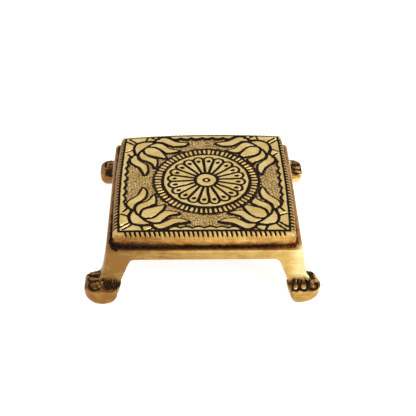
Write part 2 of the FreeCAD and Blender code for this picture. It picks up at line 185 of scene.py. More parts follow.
# %% A mesh from a grid of points
def new_object(name, data):
    """An object in the scene with the data given."""
    made = bpy.data.objects.new(name, data)
    bpy.context.scene.collection.objects.link(made)
    return made


def give_values(mesh, values):
    """Stores the finish of each point, with painted light and shade: how black, how matted, how stained,
    how polished.
    """
    for key, numbers in values.items():
        layer = mesh.attributes.new(key, "FLOAT", "POINT")
        layer.data.foreach_set("value", np.clip(numbers, 0, 1).astype(np.float32))


def grid_mesh(name, points, faces, values):
    """A mesh object from points in mm and faces of four corners."""
    mesh = bpy.data.meshes.new(name)
    mesh.vertices.add(len(points))
    mesh.vertices.foreach_set("co", (np.asarray(points) * MM).astype(np.float32).ravel())
    mesh.loops.add(len(faces) * 4)
    mesh.polygons.add(len(faces))
    mesh.loops.foreach_set("vertex_index", np.ascontiguousarray(faces, np.int32).ravel())
    mesh.polygons.foreach_set("loop_start", np.arange(0, len(faces) * 4, 4, dtype=np.int32))
    mesh.update(calc_edges=True)
    mesh.validate()
    mesh.polygons.foreach_set("use_smooth", np.ones(len(mesh.polygons), bool))
    give_values(mesh, values)
    print(name, "points", len(mesh.vertices), "faces", len(mesh.polygons))
    return new_object(name, mesh)


def grid_faces(rows, columns, closed=False):
    """Corner numbers of the cells of a grid whose points are stored row by row."""
    i, j = np.meshgrid(np.arange(rows - 1), np.arange(columns if closed else columns - 1), indexing="ij")
    right = (j + 1) % columns
    cells = [i * columns + j, i * columns + right, (i + 1) * columns + right, (i + 1) * columns + j]
    return np.stack(cells, axis=-1).reshape(-1, 4)


# %% [markdown]
# ## The crowned and bowed top
# The top isn't flat: its middle and back stand higher than its front corners, and each side bows out a
# little. A lattice modifier could bend a flat top in the same way. Here both are plain formulas of the
# place on the field, and every piece of the top uses them, so that the pieces meet.

# %% Crown and bow
below_cad_top = 0.06
side_fall = 0.5
corner_fall = 0.5
back_rise = 1.1
back_tilt = 0.4
back_right_lift = 0.9
furthest_share = 1.2
bow_left, bow_right, bow_front, bow_back = 1.2, 1.1, 0.7, 1.3


def crown(x, y):
    """Height of the top before chasing."""
    across = np.minimum((x / field_half_x) ** 2, furthest_share)
    along = np.minimum(((y - plate_shift_back) / field_half_y) ** 2, furthest_share)
    at_back = along * (y > plate_shift_back)
    rise = back_rise * at_back * (1 + back_tilt * x / field_half_x)
    corner = corner_fall * across * along * np.where(x > 0, 1 - back_right_lift * at_back, 1)
    return top_height - below_cad_top + rise - side_fall * (across + along) - corner


def bowed(x, y, share=1.0):
    """Moves points outwards, most in the middle of each side."""
    u = x / field_half_x
    v = (y - plate_shift_back) / field_half_y
    out_x = np.where(u < 0, -bow_left, bow_right) * np.abs(u) ** 3 * (1 - np.clip(v, -1, 1) ** 2)
    out_y = np.where(v < 0, -bow_front, bow_back) * np.abs(v) ** 3 * (1 - np.clip(u, -1, 1) ** 2)
    return x + share * out_x, y + share * out_y


print("height in the middle and at a corner:", round(float(crown(0, plate_shift_back)), 2),
      round(float(crown(field_half_x, plate_shift_back + field_half_y)), 2))

# %% [markdown]
# ## The chased field of the top
# Between the rim and the round medallion lies a matted ground. A scalloped border, four corner lotuses
# and the corner blocks behind them stand up from it, each with a black line round it. One half of a
# lotus is drawn in shares of its length, as smooth runs of points that meet in sharp tips, and both
# halves are mirrored to the four corners. A bump map would show the lines from above, but from the side
# the top would look flat. So the field is a fine grid whose points are moved up and down.

# %% The plan of a corner lotus, in shares of its length: along its axis, and across it
lotus_length = 22.0
lotus_corner_inset = 7.0
lotus_angle = math.radians(40)
teardrop = (
    ((0.97, -0.01), (0.86, 0.035), (0.72, 0.09), (0.57, 0.145), (0.43, 0.145), (0.335, 0.085), (0.31, 0.0)),
    ((0.31, 0.0), (0.335, -0.085), (0.43, -0.155), (0.57, -0.165), (0.72, -0.125), (0.86, -0.075),
     (0.97, -0.01)))
flame = (
    ((0.31, 0.13), (0.335, 0.23), (0.4, 0.34), (0.52, 0.39), (0.66, 0.375), (0.8, 0.36), (0.92, 0.4),
     (1.04, 0.46)),
    ((1.04, 0.46), (0.95, 0.31), (0.83, 0.18)),
    ((0.83, 0.18), (0.7, 0.205), (0.56, 0.222), (0.43, 0.205), (0.31, 0.13)))
leaf = (
    ((0.32, 0.36), (0.3, 0.46), (0.335, 0.575), (0.44, 0.645), (0.6, 0.665), (0.77, 0.69), (0.9, 0.76),
     (1.02, 0.83)),
    ((1.02, 0.83), (0.97, 0.69), (0.88, 0.58), (0.785, 0.51)),
    ((0.785, 0.51), (0.64, 0.49), (0.48, 0.475), (0.38, 0.41), (0.32, 0.36)))
calyx = (
    ((0.31, 0.3), (0.2, 0.25), (0.09, 0.16), (0.02, 0.0), (0.09, -0.16), (0.2, -0.25), (0.31, -0.3)),
    ((0.31, -0.3), (0.265, -0.15), (0.25, 0.0), (0.265, 0.15), (0.31, 0.3)))
halo = (
    ((0.57, 0.745), (0.4, 0.725), (0.29, 0.64), (0.24, 0.5), (0.24, 0.37), (0.06, 0.23), (-0.045, 0.0),
     (0.06, -0.23), (0.24, -0.37), (0.24, -0.5), (0.29, -0.64), (0.4, -0.725), (0.57, -0.745)),)
stem = ((0.0, 0.04), (-0.14, 0.05), (-0.3, 0.05))
side_vein = ((0.08, 0.2), (0.06, 0.3), (0.015, 0.4))
root_leaf = ((0.31, 0.5), (0.21, 0.46), (0.11, 0.44))
corners = ((-1, -1), (1, -1), (1, 1), (-1, 1))


def lotus_place(points, corner, side=1):
    """Points of a corner lotus in the plan of the plate."""
    along, across = np.array(points).T * lotus_length
    cos, sin = math.cos(lotus_angle), math.sin(lotus_angle)
    x = field_half_x - lotus_corner_inset - along * cos + side * across * sin
    y = field_half_y - lotus_corner_inset - along * sin - side * across * cos
    return np.stack([corner[0] * x, plate_shift_back + corner[1] * y], axis=1)


def lotus_outlines(corner):
    """The raised outlines of one lotus: teardrop, calyx, two flames and two leaves."""
    drawn = [(teardrop, 1), (calyx, 1), (flame, 1), (flame, -1), (leaf, 1), (leaf, -1)]
    return [closed_outline([lotus_place(run, corner, side) for run in runs]) for runs, side in drawn]


# %% Depth of each point inside what stands up
line_width = 1.3
band_width = 3.0
scallop_pitch = 6.0
scallop_bulge = 1.1
border_line_width = 0.85
corner_block_share = 0.31
medallion_x = 1.7
medallion_y = plate_shift_back + 0.4
ring_radius = 29.8


def scalloped_band(x, y):
    """Depth inside the border band, whose inner edge swells inwards once per scallop."""
    from_side = field_half_x - np.abs(x)
    from_end = field_half_y - np.abs(y - plate_shift_back)
    straight = band_width - scallop_bulge
    side_width = straight + scallop_bulge * np.abs(np.sin(math.pi * (y - plate_shift_back) / scallop_pitch))
    end_width = straight + scallop_bulge * np.abs(np.sin(math.pi * x / scallop_pitch))
    return np.maximum(side_width - from_side, end_width - from_end)


def field_relief(x, y):
    """Depth inside the raised parts, and distance to the nearest cut line in the corner blocks."""
    raised = scalloped_band(x, y)
    lines = np.full(x.shape, far_away)
    for corner in corners:
        from_corner_x = field_half_x - lotus_corner_inset - corner[0] * x
        from_corner_y = field_half_y - lotus_corner_inset - corner[1] * (y - plate_shift_back)
        along = from_corner_x * math.cos(lotus_angle) + from_corner_y * math.sin(lotus_angle)
        raised = np.maximum(raised, corner_block_share * lotus_length - along)
    for corner in corners:
        margin = closed_outline([lotus_place(run, corner) for run in halo])
        raised = np.minimum(raised, -depth_inside(x, y, margin))
        for outline in lotus_outlines(corner):
            depth = depth_inside(x, y, outline)
            raised = np.maximum(depth, np.minimum(raised, -depth - line_width))
        for side in (1, -1):
            for cut in (stem, side_vein, root_leaf):
                lines = np.minimum(lines, line_distance(x, y, lotus_place(cut, corner, side)))
    return raised, lines


# %% The field as a grid of heights
cell = 0.25
hand_wobble = 0.25
ground_depth = 0.5
line_depth = 0.35
grain_height = 0.17
dent_height = 0.03
stroke_core, stroke_edge = 0.45, 0.8
field_overlap = 1.5

columns = int(2 * field_half_x / cell) + 1
rows = int(2 * field_half_y / cell) + 1
grid_y, grid_x = np.meshgrid(plate_shift_back + np.linspace(-field_half_y, field_half_y, rows),
                             np.linspace(-field_half_x, field_half_x, columns), indexing="ij")
x, y = grid_x.ravel(), grid_y.ravel()
# The plan is bent a little, as a hand bends it
hand_x = x + hand_wobble * wander(x, y, 10, 1)
hand_y = y + hand_wobble * wander(x, y, 10, 2)
raised, lines = field_relief(hand_x, hand_y)
from_medallion = np.hypot(hand_x - medallion_x, hand_y - medallion_y)
raised = np.minimum(raised, from_medallion - ring_radius)
from_edge = np.minimum(field_half_x - np.abs(x), field_half_y - np.abs(y - plate_shift_back))
raised = np.minimum(raised, from_edge - border_line_width + 0.12 * wander(x, y, 6, 3))
stroke = smooth_fall(stroke_core, stroke_edge, lines + 0.12 * wander(x, y, 3, 4))
level = standing(raised) * (1 - 0.9 * stroke)
# Beside what stands up the line is cut deeper and blackened, and it is wider at the front and the back
end_band = smooth_step(field_half_y - 7, field_half_y - 5, np.abs(y - plate_shift_back))
beside_raised = smooth_step(-1.7, -0.9, raised + 0.45 * end_band + 0.35 * wander(x, y, 3, 10))
outline_dark = beside_raised * smooth_fall(-0.02, 0.24, raised - 0.12 * end_band)
# A dark band follows the ring of beads
past_ring = from_medallion + 0.9 * wander(x, y, 2.5, 12) - ring_radius
outside_ring = smooth_fall(-1.1, -0.1, past_ring)
grains = wander(x, y, 1.5, 5) * (1 - beside_raised)
low_depth = ground_depth + line_depth * beside_raised - grain_height * grains
height = crown(x, y) - low_depth * (1 - level)
height += dent_height * wander(x, y, 5, 6) * level

# %% Finish of the field
patina_and_shade = np.maximum.reduce([outline_dark, stroke, 0.9 * outside_ring])
ground = (1 - beside_raised) * smooth_step(0.5, 1.2, from_edge)
stain = 0.1 + 0.2 * ground + 0.2 * smooth_step(0.2, 0.8, wander(x, y, 14, 7))
polish_and_light = 0.62 + ground * (0.5 * grains - 0.03)

# %% The field's mesh, with the medallion's place left open
shown_x, shown_y = bowed(x, y)
faces = grid_faces(rows, columns)
faces = faces[from_medallion[faces].min(axis=1) > ring_radius - field_overlap]
# Only the points that a face uses are kept
used = np.unique(faces)
renumber = np.full(len(x), -1)
renumber[used] = np.arange(len(used))
points = np.stack([shown_x, shown_y, height], axis=1)
chased_field = grid_mesh("chased_field", points[used], renumber[faces], {
    "patina_and_shade": patina_and_shade[used], "ground": ground[used], "stain": stain[used], "polish_and_light": polish_and_light[used]})

# %% [markdown]
# ## The medallion
# A rosette of petals with a punched dot each, an eye in the middle, a plain band and a ring of beads.
# The field's square grid could carry it too, but would leave small steps on every circle. The medallion
# is round, so its grid is polar: the rings of points follow the circles, and give crisp petals and
# beads.

# %% Petals, hub and beads as functions of radius and angle
petal_count = 20
bead_count = 65
petal_turn = math.radians(13)
hub_radius, hub_line_radius = 5.2, 6.9
petal_end, petal_root_half, petal_tip_half = 18.1, 0.4, 2.13
petal_line_width = 1.2
dot_radius, dot_place, dot_squeeze = 1.25, 17.2, 0.85
eye_radius, eye_ring_radius = 0.85, 2.15
band_inner_radius, band_outer_radius = 21.6, 22.85
bead_inner_radius, bead_outer_radius = 24.35, 27.95
bead_gap = 1.0
bead_corner = 0.7
bead_shift, bead_swell, bead_stretch = 0.06, 0.12, 0.2


def petal_depth(radius, turned):
    """Depth inside a petal, narrow at the hub and round at its end, and distance from its dot."""
    along = radius * np.cos(turned)
    across = np.abs(radius * np.sin(turned))
    share = np.clip((along - hub_line_radius) / (petal_end - hub_line_radius), 0, 1)
    half_width = petal_root_half + (petal_tip_half - petal_root_half) * share
    sides = np.minimum(half_width - across, along - hub_line_radius)
    tip = petal_tip_half - np.hypot(np.maximum(along - petal_end, 0), across)
    return np.where(along > petal_end, tip, sides), np.hypot((along - dot_place) * dot_squeeze, across)


def bead_depth(radius, angle, uneven):
    """Depth inside a bead of the ring, each a little wider, narrower or shorter than the next."""
    sector = 2 * math.pi / bead_count
    number = np.floor(angle / sector).astype(int) % bead_count
    across = np.abs(angle / sector % 1 - 0.5 + bead_shift * uneven[number]) * sector * radius
    sides = (sector * radius - bead_gap) / 2 + bead_swell * uneven[number - 7] - across
    middle = (bead_inner_radius + bead_outer_radius) / 2
    half_length = (bead_outer_radius - bead_inner_radius) / 2 + bead_stretch * uneven[number - 3]
    ends = half_length - np.abs(radius - middle)
    corner = np.hypot(np.maximum(bead_corner - sides, 0), np.maximum(bead_corner - ends, 0))
    return np.minimum(np.minimum(sides, ends), bead_corner - corner)


# %% The medallion as a polar grid of heights
ring_count, spoke_count = 120, 700
carving_depth = 0.75
bead_roundness = 0.35
border_drop, border_width = 0.35, 0.9
band_valley_radius = 16.3
petal_root_radius = 14
bead_floor_radius = 23
radii = np.linspace(0.0, ring_radius, ring_count)
angles = np.arange(spoke_count) * 2 * math.pi / spoke_count
radius_grid, angle_grid = np.meshgrid(radii, angles, indexing="ij")
radius, angle = radius_grid.ravel(), angle_grid.ravel()
x = medallion_x + radius * np.cos(angle)
y = medallion_y + radius * np.sin(angle)
hand_radius = radius + 0.2 * wander(x, y, 9, 8)
hand_angle = angle + 0.22 * wander(x, y, 9, 9) / np.maximum(radius, 3)
sector = 2 * math.pi / petal_count
turned = (hand_angle - petal_turn + sector / 2) % sector - sector / 2
petal, from_dot = petal_depth(hand_radius, turned)
uneven = np.random.default_rng(11).uniform(-1, 1, bead_count)
bead = bead_depth(hand_radius, hand_angle % (2 * math.pi), uneven)

# %% Heights of the medallion
hub = hub_radius - hand_radius
around_petals = np.minimum(-petal - petal_line_width, hand_radius - band_valley_radius)
band = np.maximum(around_petals, hand_radius - band_inner_radius)
band = np.minimum(band, band_outer_radius - hand_radius)
raised = np.maximum.reduce([petal, hub, band, bead])
dot = smooth_fall(dot_radius - 0.25, dot_radius + 0.05, from_dot)
eye_ring = smooth_step(-0.15, 0.1, np.minimum(eye_ring_radius - hand_radius, hand_radius - eye_radius))
level = standing(raised) * (1 - dot) * (1 - eye_ring)
rounding = np.where(bead > -0.1, bead_roundness * smooth_fall(0, 0.8, bead), 0)
height = crown(x, y) - carving_depth * (1 - level)
height += (dent_height * wander(x, y, 5, 6) - rounding) * level
height -= border_drop * smooth_step(ring_radius - border_width, ring_radius, radius)

# %% Finish and mesh of the medallion
patina_and_shade = np.maximum.reduce([smooth_fall(-0.06, 0.26, raised), dot, eye_ring])
# Between the roots of the petals the metal is brown rather than black
at_roots = (radius > hub_line_radius) & (radius < petal_root_radius)
between_petals = smooth_step(0.3, 0.6, -petal) * at_roots
patina_and_shade -= 0.15 * between_petals
faces = grid_faces(ring_count, spoke_count, True)
medallion = grid_mesh("medallion", np.stack([x, y, height], axis=1), faces, {
    "patina_and_shade": patina_and_shade, "ground": np.zeros(len(x)), "polish_and_light": np.full(len(x), 0.64),
    "stain": 0.1 + 0.4 * between_petals + 0.2 * (radius > bead_floor_radius)})

# %% [markdown]
# ## The rim: bead row, arris and rolled skirt
# Round the field a row of beads is cut into the rounded edge, and below it the skirt rolls down to the
# ledge. The rim is swept: the same profile stands at every station of the outline, and fans round each
# corner. One bead could be modelled and repeated along a curve with an array modifier, but cast beads
# run into each other. So they are part of the sweep: their depth is a function of the distance along
# the side.

# %% The stations of the outline
bead_pitch = 2.43
station_pitch = 0.19
fan_steps = 10
plain_end, clear_bead = -0.5, 3.5


def rim_stations():
    """Points along the sides of the field, each with its outward direction, its place among the beads,
    how clear the beads are there and how deep they are cut."""
    stations = []
    # For each side: the corner it starts at, its outward direction, half its length, and how deep its
    # beads are cut
    sides = (((-1, -1), (0, -1), field_half_x, 1.0), ((1, -1), (1, 0), field_half_y, 0.9),
             ((1, 1), (0, 1), field_half_x, 0.4), ((-1, 1), (-1, 0), field_half_y, 0.9))
    for (start_x, start_y), (out_x, out_y), half, depth in sides:
        corner_x, corner_y = start_x * field_half_x, start_y * field_half_y
        steps = int(2 * half / station_pitch)
        beads = round(2 * half / bead_pitch)
        for k in range(steps + 1):
            along = 2 * half * k / steps
            x, y = corner_x - out_y * along, corner_y + out_x * along
            fade = smooth_step(plain_end, clear_bead, min(along, 2 * half - along))
            stations.append((x, y, out_x, out_y, along / (2 * half) * beads, fade, depth))
        for k in range(1, fan_steps):
            turn = math.pi / 2 * k / fan_steps
            cos, sin = math.cos(turn), math.sin(turn)
            square = (cos**3 + sin**3) ** (-1 / 3)
            turned_x, turned_y = out_x * cos - out_y * sin, out_y * cos + out_x * sin
            stations.append((x, y, turned_x * square, turned_y * square, 0, 0, 0))
    return np.array(stations)


stations = rim_stations()
print("rim stations:", len(stations))

# %% The profile of the rim, and how it varies round the plate
bevel_steps = 16
notch_depth = 0.7
notch_down, notch_in = 0.75, 0.5
border_groove = 0.7
edge_step = 0.15
skirt_profile = ((2.68, 4.95), (2.8, 4.3), (2.86, 3.5), (2.86, 2.6), (2.86, 1.7), (2.84, 1.0), (2.78, 0.45),
                 (2.64, 0.12), (2.3, 0.0), (0.6, 0.0), (-0.44, 0.0))

base_x, base_y, out_x, out_y, bead_place, bead_strength, bead_depth_share = stations.T
base_y = base_y + plate_shift_back
edge_height = crown(base_x, base_y)
rings = []
finish = {"patina_and_shade": [], "ground": [], "stain": [], "polish_and_light": []}
# Uneven wear, how far a station lies on the left or right side, and the painted shade that darkens the
# front's left end
worn = wander(base_x, base_y, 12, 21)
at_side = smooth_step(0.5, 0.9, np.abs(out_x))
at_left = at_side * (base_x < 0)
left_end_shade = smooth_fall(-55, 15, base_x)
bead_slant = -0.3
rounding_power, fall_power = 2.2, 0.75


def add_ring(out, height, bow_share, patina_and_shade, stain, polish_and_light):
    """One loop round the plate, at a distance outside the field."""
    x, y = bowed(base_x, base_y, bow_share)
    rings.append(np.stack([x + out_x * out, y + out_y * out, height + 0 * x], axis=1))
    for key, values in zip(finish, (patina_and_shade, 0.0, stain, polish_and_light)):
        finish[key].append(values + 0 * x)


# %% Sweep the bevel with its beads
# Each loop is one step from the field's edge out to the arris. A notch between two beads is deepest
# halfway, and on the left and right sides it runs on to the arris.
for k in range(bevel_steps):
    share = k / (bevel_steps - 1)
    bulge = np.maximum(math.sin(math.pi * min(share * 1.05, 1)) ** 0.5, 0.8 * at_side * (share > 0.5))
    start = smooth_fall(0.0, 0.12, share)
    notch = np.sin(math.pi * (bead_place + bead_slant * share + 0.1 * worn)) ** 2 * bead_strength
    cut = notch_depth * (0.2 + 0.8 * bulge) * smooth_step(0.3, 0.95, notch) * bead_depth_share
    fall = (1 - share**rounding_power) ** fall_power
    height = arris_height + (edge_height - arris_height - edge_step) * fall
    height -= border_groove * start + notch_down * cut
    narrow = 0.28 + (0.9 * (share - 0.45) ** 2 + 0.5 * max(share - 0.65, 0)) * (1 - 0.9 * at_side)
    gap = smooth_step(narrow, narrow + 0.36, notch + 0.1 * at_side * bead_strength)
    gap = 0.9 * gap * (1 - smooth_step(0.9, 1.0, share) * (1 - at_side)) * (1 - 0.3 * share * (1 - at_side))
    shade = np.maximum(0.15, smooth_step(0.2, 0.8, start))
    # Painted shade: towards the front's left end the outer bevel is darker, the sides are a little duller,
    # and the left side is browner
    bevel_left_shade = 0.42 * left_end_shade * (1 - at_side) * share**1.5
    add_ring(bevel_width * share - notch_in * cut, height, 1.0, np.maximum(gap, shade),
             0.25 + 0.5 * gap + 0.3 * at_left, 0.64 - 0.2 * share - bevel_left_shade - 0.08 * at_side)

# %% Sweep the rolled skirt
# The skirt is painted darker as shade near its foot, most at the left end of the front and on the
# sides, and its lower part away from the left end has a painted highlight
for out, up in skirt_profile:
    ripple = 0.1 * wander(base_x, base_y + 4 * up, 9, 22) * (0.3 < up < 4.6)
    low = smooth_fall(0.0, 5.0, up + 1.1 * wander(base_x, base_y + 2 * up, 7, 23) - 0.5 * worn)
    seam = smooth_fall(-0.5, 0.15, up + 0.5 * wander(base_x, base_y + 3 * up, 3.5, 24))
    # Painted shade on the skirt, strongest at the front's left end, near the foot and on the sides
    skirt_shade = np.maximum((0.04 + 0.62 * left_end_shade) * low**0.5, (0.06 + 0.55 * left_end_shade) * smooth_fall(0, 3.0, up))
    skirt_shade = np.maximum(skirt_shade, 0.3 * at_side + 0.3 * at_left)
    dark = np.maximum(skirt_shade, seam)
    under_beads = smooth_step(2.0, 3.6, up) * at_side
    gap = 0.9 * under_beads * smooth_step(0.4, 0.8, notch)
    outward = out + ripple - 0.4 * under_beads * notch * bead_depth_share
    add_ring(outward, ledge_height + up, 0.8 + 0.2 * up / skirt_height, np.maximum(dark, gap),
             0.7 + 0.3 * low, 0.42 - 0.4 * left_end_shade - 0.12 * at_side + 0.22 * low * (1 - left_end_shade))

# %% Join the loops to one mesh
faces = grid_faces(len(rings), len(stations), True)[:, ::-1]
finish = {key: np.concatenate(values) for key, values in finish.items()}
beaded_rim = grid_mesh("beaded_rim", np.concatenate(rings), faces, finish)

# %% [markdown]
# ## The hollow under the top
# Seen from below, the top is a shallow tray with four round bosses that take the screws. Those surfaces
# are the CAD model's own: the faces inside the hollow are copied from it, so that the screws still meet
# their holes.


# %% Copy the CAD faces of the hollow
def copied_faces(node, name, keep):
    """A new object from the faces of a CAD node whose corners all pass the test."""
    shape = bmesh.new()
    shape.from_mesh(frame["nodes"][node].data)
    dropped = [face for face in shape.faces if not all(keep(v.co / MM) for v in face.verts)]
    bmesh.ops.delete(shape, geom=dropped, context="FACES")
    bmesh.ops.remove_doubles(shape, verts=shape.verts, dist=1e-6)
    mesh = bpy.data.meshes.new(name)
    shape.to_mesh(mesh)
    shape.free()
    print(name, "faces", len(mesh.polygons))
    return new_object(name, mesh)


hollow_margin, hollow_height = 0.6, 4.95


def in_hollow(p):
    """Whether a corner belongs to the hollow, not to the plate's outside."""
    inside_x = abs(p.x) < field_half_x + hollow_margin
    inside_y = abs(p.y - plate_shift_back) < field_half_y + hollow_margin
    return inside_x and inside_y and p.z < ledge_height + hollow_height


tray_underside = copied_faces("top_plate", "tray_underside", in_hollow)
dull_finish = {"patina_and_shade": 0.2, "ground": 0.0, "stain": 0.7, "polish_and_light": 0.15}
every_point = np.ones(len(tray_underside.data.vertices))
give_values(tray_underside.data, {key: value * every_point for key, value in dull_finish.items()})

# %% [markdown]
# ## The frame casting
# Apron, legs and feet are one casting, filed and polished by hand, so no edge on it is sharp. The CAD
# solid has the right masses but crisp edges. A bevel modifier would round those edges, but can't let one
# mass flow into another. So fillets are laid where the real casting flows from leg to foot, and a voxel
# remesh melts them and the solid into one even skin. Smoothing rounds that skin, and the graver's cuts
# are pressed in.

# %% Each foot is the last one turned by a quarter
# For each foot: the ledge's corner, the direction that its toes point in, the direction beside them,
# and how far the casting's fillet reaches over the roots of the toes
feet = (((-1, -1), (-1, 0), (0, -1), 1.0), ((1, -1), (0, -1), (1, 0), 0.25),
        ((1, 1), (1, 0), (0, 1), 1.0), ((-1, 1), (0, 1), (-1, 0), 0.25))


def foot_point(foot, t, s, z):
    """A point near a foot: t runs towards the toes and s beside them, both from the ledge's corner."""
    (cx, cy), (tx, ty), (sx, sy), _ = foot
    return Vector((cx * ledge_half_x + t * tx + s * sx, cy * ledge_half_y + t * ty + s * sy, z)) * MM


def add_block(shape, ends):
    """A closed block between two outlines of as many points each."""
    rings = [[shape.verts.new(point) for point in end] for end in ends]
    shape.faces.new(rings[0])
    shape.faces.new(rings[1][::-1])
    for i in range(len(rings[0])):
        j = i - 1
        shape.faces.new((rings[0][i], rings[0][j], rings[1][j], rings[1][i]))


# %% Fillets from the legs to the feet
pad_top = 8.1
sunk_height = 6.5
leg_face = 2.9
inside_leg = 1.0
outer_edge = 2.6
fillet_steps = 7


def fillet_profile(width, sweep, rise, top):
    """A hollow curve from the leg's face down to the pad, closed through the leg and the pad."""
    profile = [(inside_leg, sunk_height), (width, sunk_height), (width, pad_top)]
    for k in range(1, fillet_steps):
        turn = math.pi / 2 * k / fillet_steps
        profile.append((leg_face + sweep * (1 - math.sin(turn)), pad_top + rise * (1 - math.cos(turn))))
    return profile + [(inside_leg, top)]


def toe_fillet(shape, foot):
    """A hollow sweep from the leg's side down to the roots of the toes."""
    reach = foot[3]
    profile = fillet_profile(3.2 + 3.6 * reach, 3.8 * reach, 1.5 + 4.2 * reach, 9.6 + 4.2 * reach)
    add_block(shape, [[foot_point(foot, t, s, z) for t, z in profile] for s in (-6.4, outer_edge)])


def side_fillet(shape, foot):
    """The same on the hatched side, where the leg's face runs out over the pad."""
    profile = fillet_profile(6.0, 3.0, 3.4, 11.4)
    add_block(shape, [[foot_point(foot, t, s, z) for s, z in profile] for t in (-5.6, outer_edge)])


# %% Ridge and heel of a foot
def corner_ridge(shape, foot):
    """The leg's corner, drawn out over the pad between the toes and the hatched side."""
    high = ((2.9, 1.0, 13), (3.0, 3.0, 13), (1.0, 2.9, 13), (1.0, 1.0, 13))
    low = ((7.0, 5.6, 8.2), (7.4, 7.2, 8.2), (5.8, 7.0, 8.2), (3.0, 3.0, 7.0))
    add_block(shape, [[foot_point(foot, *point) for point in level] for level in (high, low)])


def heel(shape, foot):
    """Fills the step under the leg's inner edges, so that they run on down into the pad."""
    squares = []
    for back, z in ((-7.2, 10.6), (-3.6, 2.5)):
        square = ((back, back), (outer_edge, back), (outer_edge, outer_edge), (back, outer_edge))
        squares.append([foot_point(foot, t, s, z) for t, s in square])
    add_block(shape, squares)
    for turned in (False, True):
        high = ((-7.1, 1.0), (-6.9, 4.2), (-4.9, 8.2), (-2.0, 8.6), (-2.0, 1.0))
        low = ((-5.2, 1.0), (-5.2, 4.2), (-3.6, 7.8), (-1.0, 8.0), (-1.0, 1.0))
        if turned:
            high = [point[::-1] for point in high]
            low = [point[::-1] for point in low]
        add_block(shape, [[foot_point(foot, t, s, z) for t, s in outline]
                          for outline, z in ((high, 8.3), (low, 2.0))])


# %% Lay the fillets, ridges and heels into the casting
frame_casting = copied_faces("leg_frame", "frame_casting", lambda p: True)
shape = bmesh.new()
shape.from_mesh(frame_casting.data)
for foot in feet:
    toe_fillet(shape, foot)
    side_fillet(shape, foot)
    corner_ridge(shape, foot)
    heel(shape, foot)
bmesh.ops.recalc_face_normals(shape, faces=shape.faces)
shape.to_mesh(frame_casting.data)
shape.free()

# %% Remesh to an even skin
voxel = 0.45
skin = frame_casting.modifiers.new("skin", "REMESH")
skin.mode = "VOXEL"
skin.voxel_size = voxel * MM
evaluated = frame_casting.evaluated_get(bpy.context.evaluated_depsgraph_get())
skin_mesh = bpy.data.meshes.new_from_object(evaluated)
frame_casting.modifiers.clear()
frame_casting.data = skin_mesh
count = len(skin_mesh.vertices)
print("frame skin: points", count, "faces", len(skin_mesh.polygons))

# %% Read the skin and its neighbours
def vertex_values(mesh, key):
    """The place or the normal of each point of a mesh."""
    values = np.empty(len(mesh.vertices) * 3, np.float32)
    mesh.vertices.foreach_get(key, values)
    return values.reshape(-1, 3).astype(float)


place = vertex_values(skin_mesh, "co") / MM
ends = np.empty(len(skin_mesh.edges) * 2, np.int32)
skin_mesh.edges.foreach_get("vertices", ends)
ends = ends.reshape(-1, 2)
degree = np.bincount(ends.ravel(), minlength=count)


def neighbour_mean(points):
    """The mean of each point's neighbours on the skin."""
    columns = []
    for values in points.T:
        columns.append(np.bincount(ends[:, 0], values[ends[:, 1]], count)
                       + np.bincount(ends[:, 1], values[ends[:, 0]], count))
    return np.stack(columns, axis=1) / degree[:, None]


# %% Smooth the skin, least at the toes
smoothing_rounds = 16
sole_reach = 12
start = place.copy()
near_toes = smooth_fall(9.6, 11.5, start[:, 2])
pad_edge = smooth_step(5.6, 6.6, start[:, 2]) * smooth_fall(8.4, 9.0, start[:, 2])
softness = 0.5 * (1 - 0.7 * near_toes) * (1 - 0.7 * pad_edge)
for _ in range(smoothing_rounds):
    place += softness[:, None] * (neighbour_mean(place) - place)
# The soles go back down to the floor
lowest = place[:, 2].min()
place[:, 2] -= lowest * smooth_fall(0, sole_reach, place[:, 2]) * (start[:, 2] < sole_reach)
print("most that smoothing moved a point, mm:", round(float(np.abs(place - start).max()), 2))

# %% Give the two front feet their hand-made stance
x, y, z = place.T.copy()
at_front = smooth_fall(-40, -36, y) * smooth_fall(6.5, 10.5, z)
left_shift, right_shift = -1.35, -0.9
left_stretch = 0.1
drawn_in = 1.8
left_edge = x.min()
place[:, 0] += at_front * np.where(x < 0, left_shift + left_stretch * (x - left_edge), right_shift)
# The pads' front faces swell near the floor, and the right pad's outer back corner is drawn in
for middle, reach, push in ((-51.8, 5.5, 2.2), (49.5, 5.5, 2.0)):
    fuller = push * np.exp(-(((x - middle) / reach) ** 2)) * smooth_fall(0, 6, z)
    place[:, 1] -= fuller * smooth_fall(-54, -50, y)
leaner = smooth_step(-51, -45, y) * smooth_step(52, 58, x) * smooth_fall(8.5, 11, z) * (y < -30)
place[:, 0] -= drawn_in * leaner
print("most that the stance moved a point, mm:", round(float(np.abs(place[:, 0] - x).max()), 2))

# %% [markdown]
# ## Toes and graver cuts on the feet
# Three toes on each foot are outlined with a deep dark line, and the part of the pad beside them is
# hatched with diagonal cuts. They could be sculpted by hand on one foot and copied, but the four feet
# aren't alike. So the cuts are distances to simple lines in the foot's own plan, pressed into the skin
# and blackened.

# %% Lines on one foot, in the foot's own plan
# For each toe: its place beside the leg's corner, half its width, and how far its round end's middle
# reaches
toes = ((5.4, 2.35, 6.7), (0.7, 1.85, 8.0), (-3.4, 1.75, 8.2))
toe_root = 4.6
toe_lean = 0.12
hatch_count, hatch_pitch, hatch_first, hatch_slant = 8, 1.3, 2.4, 2.4
hatch_near, hatch_far = 1.6, 7.2


